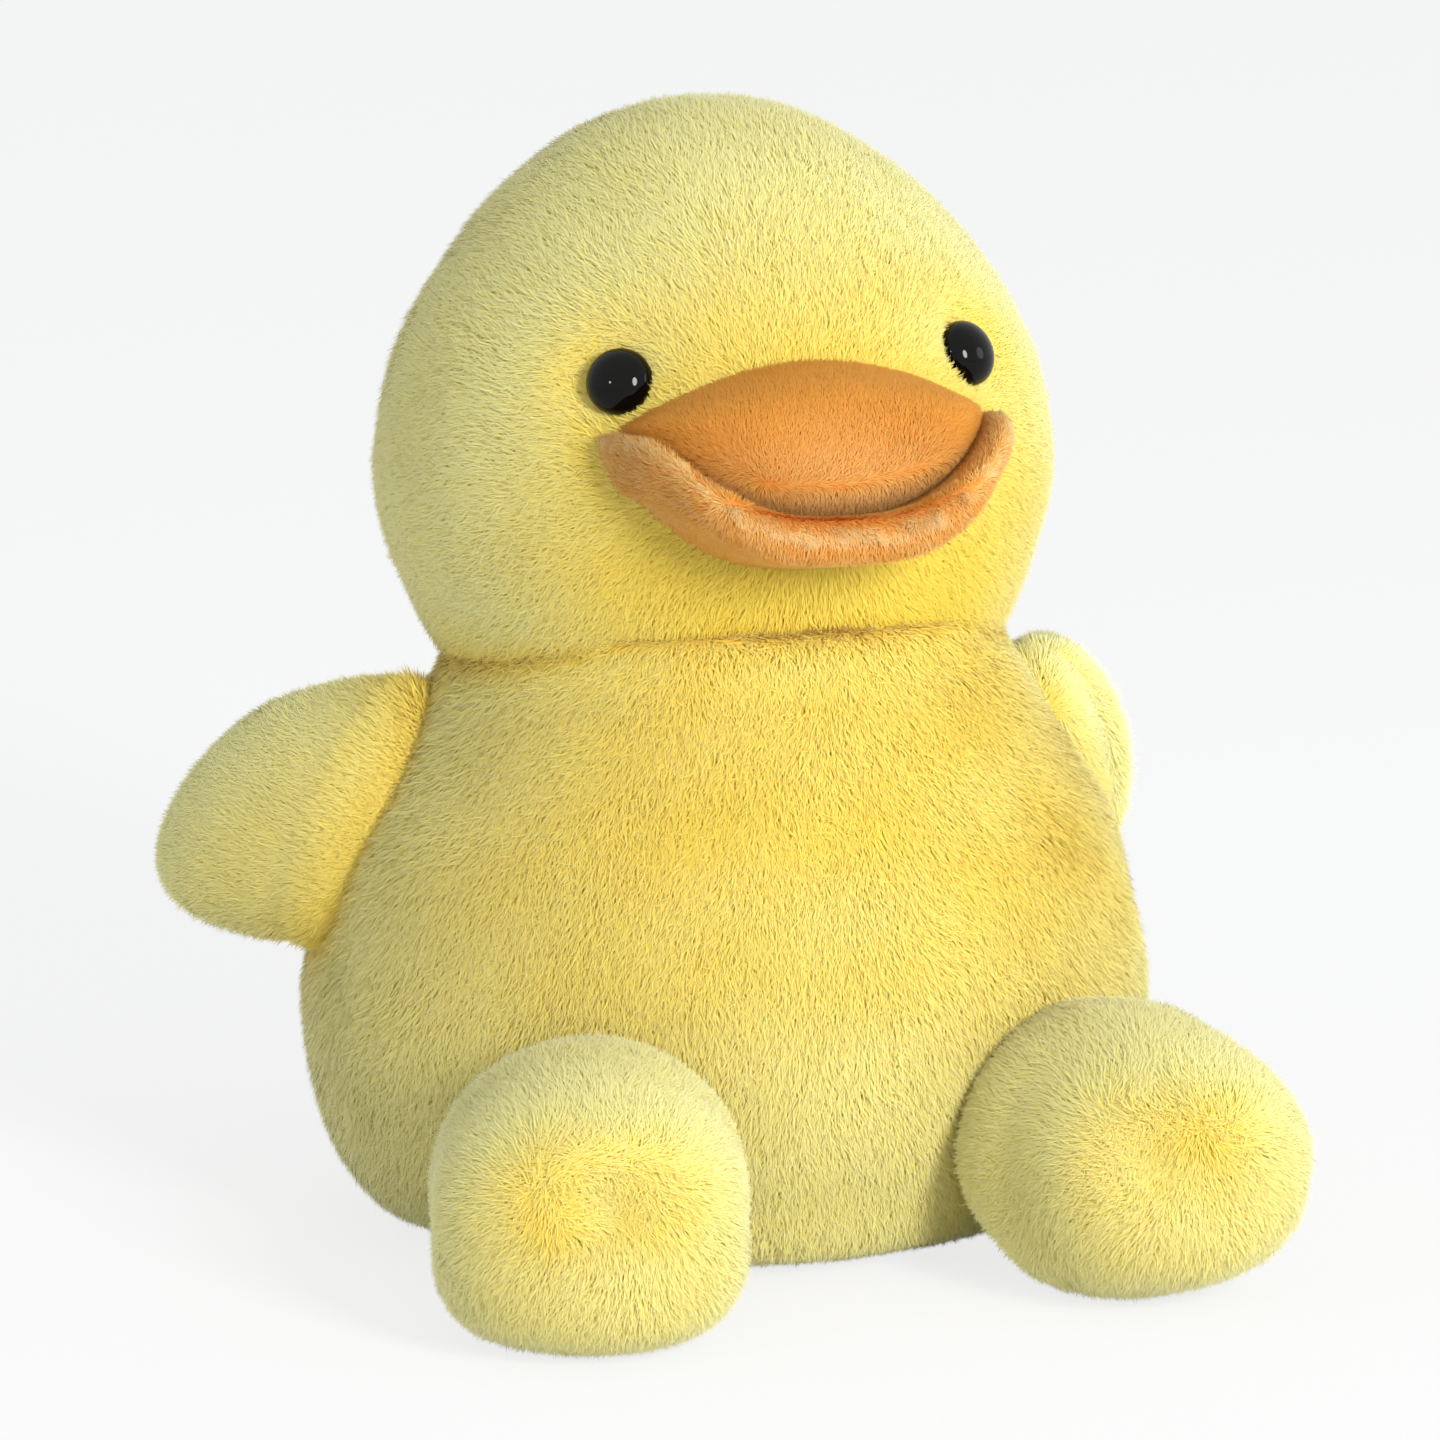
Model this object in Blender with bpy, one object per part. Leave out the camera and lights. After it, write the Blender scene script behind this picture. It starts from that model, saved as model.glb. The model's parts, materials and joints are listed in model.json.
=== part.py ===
"""A seated plush duck: fabric covers with their stuffing, pellets, bill, eyes and neck seam, at real size.

Metres, +Z up. The duck faces -Y, so its own left side is at +X. The origin is on the ground under the body.
The covers are as thick as their fabric with its pile pressed flat. Every piece of the head has its origin at
the head's centre, and each wing and foot has its origin on its hinge.
"""

import math

import bmesh
import bpy
from mathutils import Matrix, Vector

# General sizes
CLEARANCE = 0.0003
COVER_THICKNESS = 0.0034
CUT_OVERRUN = 0.004
GROUND_CUT = 0.0005

# Head: a ball with a slightly raised crown, tilted back and sewn on round the neck
HEAD_RADIUS = 0.0370
HEAD_CENTRE_HEIGHT = 0.0815
HEAD_CENTRE_BACK = 0.0040
HEAD_TILT = math.radians(12)
HEAD_HOLE_RADIUS = 0.009
CROWN_RISE_SHARE = 0.085
CROWN_START_SHARE = 0.58
NECK_BALL_RADIUS = 0.0361
JAW_SHARE = 0.35

# Body: a pear whose widest place is low down
BODY_TALL = 0.075
BODY_HALF_WIDTH = 0.0466
BODY_FRONT = 0.0430
BODY_BACK = 0.0440
NECK_DROP = 0.0206
PELLET_LEVEL = 0.020

# Neck seam thread
THREAD_RADIUS = 0.0005

# Feet: each a ball round its hinge, drawn out into a toe and squared over its sole
FOOT_RADIUS = 0.0168
FOOT_TOE = 0.0230
FOOT_TALL_SHARE = 0.93
FOOT_SOLE_SHARE = 0.10
FOOT_TOP_SHARE = 0.14
FOOT_SOLE_BACK_SHARE = 0.3
TOE_START_SHARE = 0.15
FOOT_APART = 0.0290
FOOT_FORWARD = 0.0432
FOOT_SPLAY = math.radians(17)
FOOT_HOLE_RADIUS = 0.004

# Wings: each a round root on its hinge, drawn out into a flat swept paddle
WING_ROOT_RADIUS = 0.0080
WING_THICKNESS = 0.0128
WING_CHORD = 0.0322
WING_REACH = 0.0215
WING_ROOT_OUT = 0.0395
WING_ROOT_BACK = 0.0050
WING_ROOT_HEIGHT = 0.0457
WING_LEAN = math.radians(26)
WING_SWEEP = math.radians(60)
WING_UNEVEN = math.radians(10)
WING_DROOP_SHARE = 0.52
WING_NECK_SHARE = 0.56
WING_SWELL_START_SHARE = 0.3
WING_SWELL_END_SHARE = 0.7
WING_FULLNESS_POWER = 0.6
WING_CORNER_POWER = 2.3
WING_HOLE_RADIUS = 0.003
WING_SOCKET_SHARE = 1.03

# Tail: a blunt nub low on the back
TAIL_LENGTH = 0.0105
TAIL_WIDTH = 0.0170
TAIL_THICKNESS = 0.0120
TAIL_HEIGHT = 0.0240
TAIL_BACK = 0.0430
TAIL_RISE = math.radians(28)
TAIL_TAPER_SHARE = 0.18
TAIL_TAPER_START_SHARE = -0.4

# Bill: a stuffed upper puff over a flat lower bill that turns up at its corners
PUFF_HALF_WIDTH = 0.0203
PUFF_FORWARD = 0.0305
PUFF_REACH = 0.0155
PUFF_HALF_TALL = 0.0092
PUFF_ABOVE = 0.0012
PUFF_UPTURN = 0.0024
PUFF_PINCH_SHARE = 0.3
LIP_HALF_WIDTH = 0.0225
LIP_FORWARD = 0.0290
LIP_REACH = 0.0195
LIP_THICKNESS = 0.0052
LIP_BELOW = 0.0094
LIP_UPTURN = 0.0130
LIP_CURL_POWER = 2.8
LIP_EDGE_POWER = 0.5
BILL_COVER = 0.0012

# Eyes: domed plastic with a shank, held by a lock washer inside the cover
EYE_RADIUS = 0.0038
EYE_DOME = 0.0030
EYE_FLANGE = 0.0008
EYE_SINK = 0.0016
EYE_OUT = 0.0189
EYE_UP = 0.0088
SHANK_RADIUS = 0.0014
SHANK_LENGTH = 0.0090
WASHER_RADIUS = 0.0048
WASHER_THICKNESS = 0.0012

# Facets
BODY_SEGMENTS, BODY_RINGS = 36, 22
HEAD_SEGMENTS, HEAD_RINGS = 32, 20
LIMB_SEGMENTS, LIMB_RINGS = 24, 14
INNER_SEGMENTS, INNER_RINGS = 20, 12
FILL_SEGMENTS, FILL_RINGS = 16, 10
BILL_SEGMENTS, BILL_RINGS = 24, 12
ROUND_SEGMENTS = 20
DOME_STEPS = 5
THREAD_SEGMENTS, THREAD_SIDES = 36, 6

# Body outline from the ground up: how high, how wide, how far forward and how far back
BODY_OUTLINE_SHARES = (
    (0.000, 0.000, 0.000, 0.000),
    (0.000, 0.640, 0.460, 0.700),
    (0.022, 0.770, 0.620, 0.850),
    (0.060, 0.870, 0.780, 0.935),
    (0.130, 0.940, 0.900, 0.980),
    (0.220, 0.980, 0.965, 1.000),
    (0.340, 1.000, 1.000, 1.000),
    (0.460, 0.970, 1.000, 0.945),
    (0.580, 0.910, 0.975, 0.860),
    (0.680, 0.815, 0.915, 0.765),
    (0.780, 0.720, 0.845, 0.680),
    (0.870, 0.645, 0.780, 0.610),
    (0.950, 0.540, 0.680, 0.510),
    (1.000, 0.000, 0.000, 0.000),
)


def material(name, colour, roughness):
    """A Principled BSDF of one colour."""
    made = bpy.data.materials.new(name)
    made.use_nodes = True
    made.diffuse_color = (*colour, 1)
    shader = made.node_tree.nodes["Principled BSDF"]
    shader.inputs["Base Color"].default_value = (*colour, 1)
    shader.inputs["Roughness"].default_value = roughness
    shader.inputs["Metallic"].default_value = 0
    return made


def new_object(name, shape, place, finish=None):
    """An object of a finished bmesh, shaded smooth. With no finish it is a cutter."""
    mesh = bpy.data.meshes.new(name)
    shape.to_mesh(mesh)
    shape.free()
    mesh.shade_smooth()
    made = bpy.data.objects.new(name, mesh)
    made.matrix_world = place
    bpy.context.scene.collection.objects.link(made)
    if finish:
        mesh.materials.append(finish)
    else:
        made.hide_render = True
        made.display_type = "WIRE"
    return made


def swollen(name, segments, rings, point_of, place, finish=None):
    """A closed form: a unit ball whose points are each moved by point_of."""
    shape = bmesh.new()
    bmesh.ops.create_uvsphere(shape, u_segments=segments, v_segments=rings, radius=1)
    for vertex in shape.verts:
        vertex.co = point_of(vertex.co.normalized())
    return new_object(name, shape, place, finish)


def turned(name, profile, place, finish=None, seat=Matrix.Identity(4)):
    """A closed turned form from its (radius, height) points, which start and end on the axis of its seat."""
    shape = bmesh.new()
    points = [shape.verts.new((radius, 0, height)) for radius, height in profile]
    edges = [shape.edges.new(pair) for pair in zip(points, points[1:])]
    bmesh.ops.spin(
        shape,
        geom=points + edges,
        cent=(0, 0, 0),
        axis=(0, 0, 1),
        angle=math.tau,
        steps=ROUND_SEGMENTS,
        use_merge=True,
    )
    bmesh.ops.remove_doubles(shape, verts=shape.verts, dist=CLEARANCE / len(profile))
    bmesh.ops.recalc_face_normals(shape, faces=shape.faces)
    shape.transform(seat)
    return new_object(name, shape, place, finish)


def rod(name, radius, low, high, place, finish=None, seat=Matrix.Identity(4)):
    """A plain round rod along the local Z axis, from low to high."""
    profile = ((0, low), (radius, low), (radius, high), (0, high))
    return turned(name, profile, place, finish, seat)


def cut(target, *cutters):
    for cutter in cutters:
        step = target.modifiers.new(cutter.name, "BOOLEAN")
        step.operation = "DIFFERENCE"
        step.object = cutter


def smooth_read(table, share):
    """A row of a table read at a share of its length, on a Catmull-Rom curve through its rows."""
    at = share * (len(table) - 1)
    start = min(int(at), len(table) - 2)
    t = at - start
    before, here, there, after = (
        table[min(max(start + step, 0), len(table) - 1)] for step in (-1, 0, 1, 2)
    )
    return [
        b + (c - a) * t / 2 + (2 * a - 5 * b + 4 * c - d) * t**2 / 2 + (3 * b - a - 3 * c + d) * t**3 / 2
        for a, b, c, d in zip(before, here, there, after)
    ]


def ease(value, low, high):
    """0 up to low, 1 from high on, and smooth between."""
    t = min(max((value - low) / (high - low), 0), 1)
    return t * t * (3 - 2 * t)


def frame_at(origin, x_axis, z_axis):
    """A place with its Z axis as given, and its X axis as near as it can be."""
    z = z_axis.normalized()
    y = z.cross(x_axis).normalized()
    x = y.cross(z)
    return Matrix.Translation(origin) @ Matrix((x, y, z)).transposed().to_4x4()


HEAD_CENTRE = Vector((0, HEAD_CENTRE_BACK, HEAD_CENTRE_HEIGHT))
HEAD_PLACE = Matrix.Translation(HEAD_CENTRE) @ Matrix.Rotation(-HEAD_TILT, 4, "X")
BODY_PLACE = Matrix.Identity(4)


def head_point(inset=0):
    """The head's form, round its own centre."""

    def point(d):
        crown = max(d.z - CROWN_START_SHARE, 0) / (1 - CROWN_START_SHARE)
        round_radius = HEAD_RADIUS + (NECK_BALL_RADIUS - HEAD_RADIUS) * ease(-d.z, 0, JAW_SHARE)
        return d * (round_radius * (1 + CROWN_RISE_SHARE * crown**2) - inset)

    return point


def body_point(inset=0):
    """The body's form, read from its outline by the latitude on the unit ball."""

    def point(d):
        latitude = 1 - math.acos(min(max(d.z, -1), 1)) / math.pi
        tall, wide, front, back = smooth_read(BODY_OUTLINE_SHARES, latitude)
        flat = math.hypot(d.x, d.y)
        side = d.x / flat if flat > CLEARANCE else 0
        depth = d.y / flat if flat > CLEARANCE else 0
        half_width = max(wide * BODY_HALF_WIDTH - inset, 0)
        reach = max((front * BODY_FRONT if depth < 0 else back * BODY_BACK) - inset, 0)
        height = inset + max(tall, 0) * (BODY_TALL - 2 * inset)
        return Vector((side * half_width, depth * reach, height))

    return point


def foot_point(inset=0):
    """A foot's form, round its hinge along local X. The local -Y axis points out of the toe."""

    def point(d):
        toe = ease(-d.y, TOE_START_SHARE, 1)
        sole = 2 * d.z * math.hypot(d.x, d.y) if d.z < 0 else 0
        sole_share = FOOT_SOLE_SHARE * sole**2 * (1 - ease(d.y, -FOOT_SOLE_BACK_SHARE, FOOT_SOLE_BACK_SHARE))
        reach = (FOOT_RADIUS + (FOOT_TOE - FOOT_RADIUS) * toe) * (1 + sole_share) - inset
        top_share = FOOT_TOP_SHARE * toe if d.z > 0 else 0
        tall = FOOT_RADIUS * FOOT_TALL_SHARE * (1 + sole_share + top_share) - inset
        return Vector((d.x * reach, d.y * reach, d.z * tall))

    return point


def wing_point(inset=0):
    """A wing's form, round its hinge along local Z. The local -Y axis points out to the tip."""
    root = WING_ROOT_RADIUS - inset
    half_thickness = WING_THICKNESS / 2 - inset
    half_chord = WING_CHORD / 2 - inset
    reach = WING_REACH - inset

    def point(d):
        flat = math.hypot(d.x, d.y)
        if d.y >= 0 or flat < CLEARANCE:
            return Vector((d.x * root, d.y * root, d.z * half_chord))
        squared = abs(d.y) ** WING_CORNER_POWER + abs(d.z) ** WING_CORNER_POWER
        corner = math.hypot(d.y, d.z) / squared ** (1 / WING_CORNER_POWER)
        along = -d.y * reach * corner
        across = abs(d.x) / flat
        round_root = math.sqrt(max(root**2 - (along / flat) ** 2, 0))
        swelling = ease(along / reach, WING_SWELL_START_SHARE, WING_SWELL_END_SHARE)
        swell = WING_NECK_SHARE + (1 - WING_NECK_SHARE) * swelling
        half = flat * max(round_root, half_thickness * swell * across**WING_FULLNESS_POWER)
        drop = WING_DROOP_SHARE * along**2 / reach
        return Vector((math.copysign(half, d.x), -along, d.z * half_chord * corner - drop))

    return point


def tail_point(inset=0):
    """The tail's form. The local -Y axis points out to the tip."""

    def point(d):
        taper = 1 - TAIL_TAPER_SHARE * ease(-d.y, TAIL_TAPER_START_SHARE, 1)
        half_width = TAIL_WIDTH / 2 - inset
        half_thickness = TAIL_THICKNESS / 2 - inset
        return Vector((d.x * half_width * taper, d.y * (TAIL_LENGTH - inset), d.z * half_thickness * taper))

    return point


def puff_point(inset=0):
    """The upper bill in the head's own frame, where -Y is forward."""

    def point(d):
        x = d.x * (PUFF_HALF_WIDTH - inset)
        y = -PUFF_FORWARD + d.y * (PUFF_REACH - inset)
        half_tall = (PUFF_HALF_TALL - inset) * (1 - PUFF_PINCH_SHARE * d.x**2)
        return Vector((x, y, PUFF_ABOVE + PUFF_UPTURN * d.x**2 + d.z * half_tall))

    return point


def lip_point(inset=0):
    """The lower bill in the head's own frame: a flat lens that turns up at its corners."""

    def point(d):
        x = d.x * (LIP_HALF_WIDTH - inset)
        y = -LIP_FORWARD + d.y * (LIP_REACH - inset)
        turn = LIP_UPTURN * abs(x / LIP_HALF_WIDTH) ** LIP_CURL_POWER
        edge = math.copysign(abs(d.z) ** LIP_EDGE_POWER, d.z)
        return Vector((x, y, -LIP_BELOW + edge * (LIP_THICKNESS / 2 - inset) + turn))

    return point


def side_name(side):
    return "left" if side > 0 else "right"


def foot_place(side):
    """A foot's frame: its hinge runs along local X."""
    height = FOOT_RADIUS * FOOT_TALL_SHARE - GROUND_CUT
    toe = Vector((side * math.sin(FOOT_SPLAY), -math.cos(FOOT_SPLAY), 0))
    up = Vector((0, 0, 1))
    return frame_at(Vector((side * FOOT_APART, -FOOT_FORWARD, height)), up.cross(toe), up)


def wing_place(side):
    """A wing's frame: its hinge runs along local Z, up the body's flank. The left wing lies further back."""
    chord = Vector((-side * math.sin(WING_LEAN), 0, math.cos(WING_LEAN)))
    outward = Vector((side * math.cos(WING_LEAN), 0, math.sin(WING_LEAN)))
    sweep = WING_SWEEP + side * WING_UNEVEN
    tip = math.cos(sweep) * outward + Vector((0, math.sin(sweep), 0))
    root = Vector((side * WING_ROOT_OUT, WING_ROOT_BACK, WING_ROOT_HEIGHT))
    return frame_at(root, chord.cross(tip), chord)


def tail_place():
    up = Vector((0, -math.sin(TAIL_RISE), math.cos(TAIL_RISE)))
    tip = Vector((0, math.cos(TAIL_RISE), math.sin(TAIL_RISE)))
    return frame_at(Vector((0, TAIL_BACK, TAIL_HEIGHT)), up.cross(tip), up)


def eye_seat(side):
    """An eye's frame within the head's own frame: its Z axis points straight out of the face."""
    seat = HEAD_RADIUS - EYE_SINK
    forward = math.sqrt(seat**2 - EYE_OUT**2 - EYE_UP**2)
    out = Vector((side * EYE_OUT, -forward, EYE_UP))
    return frame_at(out, Vector((0, 0, 1)).cross(out), out)


def sockets(label, grown):
    """Cutters for the places in the body that the head, the feet and the wings turn in or lie against."""
    head_ball = swollen(
        f"{label}_head_socket",
        HEAD_SEGMENTS,
        HEAD_RINGS,
        lambda d: d * (NECK_BALL_RADIUS + grown),
        HEAD_PLACE,
    )
    made = [head_ball]
    for side in (-1, 1):
        foot_ball = swollen(
            f"{label}_{side_name(side)}_foot_socket",
            LIMB_SEGMENTS,
            LIMB_RINGS,
            lambda d: d * (FOOT_RADIUS + grown),
            foot_place(side),
        )
        wing_round = rod(
            f"{label}_{side_name(side)}_wing_socket",
            (WING_ROOT_RADIUS + grown) * WING_SOCKET_SHARE,
            -WING_CHORD / 2 - grown,
            WING_CHORD / 2 + grown,
            wing_place(side),
        )
        wing_rest = swollen(
            f"{label}_{side_name(side)}_wing_rest",
            LIMB_SEGMENTS,
            LIMB_RINGS,
            wing_point(-grown),
            wing_place(side),
        )
        made += [foot_ball, wing_round, wing_rest]
    return made


def inner_body(name, gap, finish=None):
    """What fits inside the body's cover, with a gap all round."""
    form = body_point(COVER_THICKNESS + gap)
    made = swollen(name, INNER_SEGMENTS, INNER_RINGS, form, BODY_PLACE, finish)
    cut(made, *sockets(name, CLEARANCE + COVER_THICKNESS + gap))
    return made


def make_body(neck_hole):
    cover = swollen("body_cover", BODY_SEGMENTS, BODY_RINGS, body_point(), BODY_PLACE, PLUSH)
    above_neck = rod("above_neck", BODY_TALL, -NECK_DROP, BODY_TALL, HEAD_PLACE)
    cavity = inner_body("body_cavity", 0)
    cut(cover, above_neck, *sockets("body_cover", CLEARANCE), cavity, neck_hole)

    level = Matrix.Translation((0, 0, PELLET_LEVEL))
    stuffing = inner_body("body_stuffing", CLEARANCE, FIBRE)
    cut(stuffing, rod("below_stuffing", BODY_TALL, -BODY_TALL, CLEARANCE / 2, level))
    pellets = inner_body("pellet_bag", CLEARANCE, PELLETS)
    cut(pellets, rod("above_pellets", BODY_TALL, -CLEARANCE / 2, BODY_TALL, level))


def make_neck_thread():
    """The waxed thread of the hand-sewn seam, lying between the head and the body's upper edge."""
    height = -NECK_DROP + CLEARANCE + THREAD_RADIUS
    reach = NECK_BALL_RADIUS + CLEARANCE + THREAD_RADIUS
    loop_radius = math.sqrt(reach**2 - height**2)
    shape = bmesh.new()
    bmesh.ops.create_circle(
        shape,
        segments=THREAD_SIDES,
        radius=THREAD_RADIUS,
        matrix=Matrix.Translation((loop_radius, 0, height)) @ Matrix.Rotation(math.pi / 2, 4, "X"),
    )
    bmesh.ops.spin(
        shape,
        geom=shape.verts[:] + shape.edges[:],
        cent=(0, 0, 0),
        axis=(0, 0, 1),
        angle=math.tau,
        steps=THREAD_SEGMENTS,
        use_merge=True,
    )
    bmesh.ops.remove_doubles(shape, verts=shape.verts, dist=THREAD_RADIUS / THREAD_SIDES)
    bmesh.ops.recalc_face_normals(shape, faces=shape.faces)
    new_object("neck_thread", shape, HEAD_PLACE, THREAD)


def make_head(neck_hole):
    cover = swollen("head_cover", HEAD_SEGMENTS, HEAD_RINGS, head_point(), HEAD_PLACE, PLUSH)
    inside = head_point(COVER_THICKNESS)
    cavity = swollen("head_cavity", INNER_SEGMENTS, INNER_RINGS, inside, HEAD_PLACE)
    cut(cover, cavity, neck_hole)
    form = head_point(COVER_THICKNESS + CLEARANCE)
    stuffing = swollen("head_stuffing", INNER_SEGMENTS, INNER_RINGS, form, HEAD_PLACE, FIBRE)
    for side in (-1, 1):
        make_eye(side, cover, stuffing)


def make_eye(side, cover, stuffing):
    """A domed eye, its lock washer, the seat in the cover and the pocket in the stuffing."""
    label = side_name(side)
    seat = eye_seat(side)
    turns = [step * math.pi / 2 / DOME_STEPS for step in range(DOME_STEPS)]
    dome = [(EYE_RADIUS * math.cos(turn), EYE_DOME * math.sin(turn)) for turn in turns]
    shank = [
        (0, -SHANK_LENGTH),
        (SHANK_RADIUS, -SHANK_LENGTH),
        (SHANK_RADIUS, -EYE_FLANGE),
        (EYE_RADIUS, -EYE_FLANGE),
    ]
    turned(f"{label}_eye", [*shank, *dome, (0, EYE_DOME)], HEAD_PLACE, EYE_BLACK, seat)

    inner_radius = HEAD_RADIUS - COVER_THICKNESS
    sagitta = inner_radius - math.sqrt(inner_radius**2 - WASHER_RADIUS**2)
    top = EYE_SINK - COVER_THICKNESS - sagitta - CLEARANCE
    bottom = top - WASHER_THICKNESS
    washer_name = f"{label}_eye_washer"
    washer = rod(washer_name, WASHER_RADIUS, bottom, top, HEAD_PLACE, WASHER_WHITE, seat)
    through = WASHER_THICKNESS + CLEARANCE
    hole_radius = SHANK_RADIUS + CLEARANCE
    cut(washer, rod(f"{label}_washer_hole", hole_radius, bottom - through, top + through, HEAD_PLACE, seat=seat))

    def room(kind, *steps):
        """A cutter of round steps, each with its radius and its top, from below the shank's end up."""
        low = -SHANK_LENGTH - CLEARANCE
        profile = [(0, low)]
        for radius, high in steps:
            profile += [(radius, low), (radius, high)]
            low = high
        return turned(f"{label}_{kind}_room", [*profile, (0, low)], HEAD_PLACE, seat=seat)

    shank_part = (hole_radius, bottom - CLEARANCE)
    washer_part = (WASHER_RADIUS + CLEARANCE, top + CLEARANCE)
    neck_part = (hole_radius, -EYE_FLANGE - CLEARANCE)
    eye_part = (EYE_RADIUS + CLEARANCE, EYE_DOME + CUT_OVERRUN)
    cut(cover, room("eye", shank_part, washer_part, neck_part, eye_part))
    cut(stuffing, room("washer", shank_part, (WASHER_RADIUS + CLEARANCE, EYE_SINK)))


def bill_form(name, segments, rings, point_of, finish=None):
    return swollen(name, segments, rings, point_of, HEAD_PLACE, finish)


def make_bill():
    """The two bill pieces, cut to the face and to each other, each with its padding."""
    face = bill_form("face", HEAD_SEGMENTS, HEAD_RINGS, head_point(-CLEARANCE))
    lip_room, lip_wall_room, lip_fill_room = (
        bill_form(name, BILL_SEGMENTS, BILL_RINGS, lip_point(-grown))
        for name, grown in (
            ("lip_room", CLEARANCE),
            ("lip_wall_room", CLEARANCE + BILL_COVER),
            ("lip_fill_room", 2 * CLEARANCE + BILL_COVER),
        )
    )
    upper = bill_form("upper_bill_cover", BILL_SEGMENTS, BILL_RINGS, puff_point(), BILL_PLUSH)
    upper_cavity = bill_form("upper_bill_cavity", BILL_SEGMENTS, BILL_RINGS, puff_point(BILL_COVER))
    cut(upper_cavity, lip_wall_room)
    cut(upper, lip_room, face, upper_cavity)
    filled = puff_point(BILL_COVER + CLEARANCE)
    stuffing = bill_form("upper_bill_stuffing", BILL_SEGMENTS, BILL_RINGS, filled, FIBRE)
    cut(stuffing, lip_fill_room, face)

    lower = bill_form("lower_bill_cover", BILL_SEGMENTS, BILL_RINGS, lip_point(), BILL_PLUSH)
    lower_cavity = bill_form("lower_bill_cavity", BILL_SEGMENTS, BILL_RINGS, lip_point(BILL_COVER))
    cut(lower, face, lower_cavity)
    filled = lip_point(BILL_COVER + CLEARANCE)
    padding = bill_form("lower_bill_padding", BILL_SEGMENTS, BILL_RINGS, filled, FIBRE)
    cut(padding, face)


def make_limb(limb, fill, place, point_of, hole_radius, root_reach, ground, fill_finish):
    """A cover with a root opening towards the body, and its filling."""
    cover = swollen(f"{limb}_cover", LIMB_SEGMENTS, LIMB_RINGS, point_of(), place, PLUSH)
    inside = point_of(COVER_THICKNESS)
    cavity = swollen(f"{limb}_cavity", INNER_SEGMENTS, INNER_RINGS, inside, place)
    to_root = Matrix.Rotation(-math.pi / 2, 4, "X")
    hole = rod(f"{limb}_hole", hole_radius, 0, root_reach + CUT_OVERRUN, place, seat=to_root)
    cut(cover, cavity, hole, ground)
    filled = point_of(COVER_THICKNESS + CLEARANCE)
    swollen(f"{limb}_{fill}", INNER_SEGMENTS, INNER_RINGS, filled, place, fill_finish)


def make_tail():
    place = tail_place()
    body_room = swollen("body_room", BODY_SEGMENTS, BODY_RINGS, body_point(-CLEARANCE), BODY_PLACE)
    cover = swollen("tail_cover", INNER_SEGMENTS, INNER_RINGS, tail_point(), place, PLUSH)
    inside = tail_point(COVER_THICKNESS)
    cavity = swollen("tail_cavity", FILL_SEGMENTS, FILL_RINGS, inside, place)
    cut(cover, cavity, body_room)
    filled = tail_point(COVER_THICKNESS + CLEARANCE)
    stuffing = swollen("tail_stuffing", FILL_SEGMENTS, FILL_RINGS, filled, place, FIBRE)
    cut(stuffing, body_room)


for item in list(bpy.data.objects):
    bpy.data.objects.remove(item)

PLUSH = material("yellow plush", (0.87, 0.72, 0.20), 0.95)
BILL_PLUSH = material("orange plush", (0.89, 0.42, 0.09), 0.9)
FIBRE = material("polyester fibre", (0.9, 0.9, 0.88), 1)
PELLETS = material("plastic pellets", (0.75, 0.78, 0.8), 0.5)
EYE_BLACK = material("black plastic", (0.01, 0.01, 0.01), 0.08)
WASHER_WHITE = material("white plastic", (0.8, 0.8, 0.8), 0.4)
THREAD = material("yellow thread", (0.8, 0.6, 0.15), 0.8)

NECK_HOLE = rod(
    "neck_hole",
    HEAD_HOLE_RADIUS,
    -NECK_BALL_RADIUS - COVER_THICKNESS - CUT_OVERRUN,
    -NECK_BALL_RADIUS + COVER_THICKNESS + CUT_OVERRUN,
    HEAD_PLACE,
)
GROUND = rod("ground", 2 * BODY_TALL, -BODY_TALL, 0, Matrix.Identity(4))
make_body(NECK_HOLE)
make_neck_thread()
make_head(NECK_HOLE)
make_bill()
for side in (-1, 1):
    foot, wing = f"{side_name(side)}_foot", f"{side_name(side)}_wing"
    make_limb(foot, "pellets", foot_place(side), foot_point, FOOT_HOLE_RADIUS, FOOT_RADIUS, GROUND, PELLETS)
    make_limb(wing, "stuffing", wing_place(side), wing_point, WING_HOLE_RADIUS, WING_ROOT_RADIUS, GROUND, FIBRE)
make_tail()
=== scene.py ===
"""The looks of a seated plush duck: its pile, padded bill and glossy eyes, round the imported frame.

Metres, +Z up. The duck faces -Y, and its own left side is at +X.
"""

import json
import math

import bmesh
import bpy
import numpy as np
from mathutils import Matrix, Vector
from mathutils.bvhtree import BVHTree


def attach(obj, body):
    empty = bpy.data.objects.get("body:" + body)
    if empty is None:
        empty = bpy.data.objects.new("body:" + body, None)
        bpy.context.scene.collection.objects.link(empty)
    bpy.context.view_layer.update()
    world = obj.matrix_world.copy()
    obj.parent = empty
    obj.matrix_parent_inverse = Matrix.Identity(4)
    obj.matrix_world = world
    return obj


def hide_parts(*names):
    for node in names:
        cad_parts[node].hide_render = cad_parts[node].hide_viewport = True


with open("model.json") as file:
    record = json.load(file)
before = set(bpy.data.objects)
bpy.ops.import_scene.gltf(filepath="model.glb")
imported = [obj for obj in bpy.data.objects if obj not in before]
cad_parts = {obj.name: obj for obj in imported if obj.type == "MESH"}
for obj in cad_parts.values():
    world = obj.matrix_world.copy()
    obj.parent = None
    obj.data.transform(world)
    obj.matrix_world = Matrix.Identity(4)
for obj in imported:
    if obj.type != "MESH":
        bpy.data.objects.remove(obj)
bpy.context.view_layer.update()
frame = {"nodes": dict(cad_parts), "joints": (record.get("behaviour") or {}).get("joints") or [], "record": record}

MM = 0.001

# The camera that took the picture
IMAGE_PIXELS = 1440
PIXEL = 0.108 * MM
VIEW_AZIMUTH = math.radians(-18)
VIEW_ELEVATION = math.radians(12)
VIEW_DISTANCE = 1.2
AIM = Vector((-0.6, 0, 54.1)) * MM
SENSOR = 36

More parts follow.
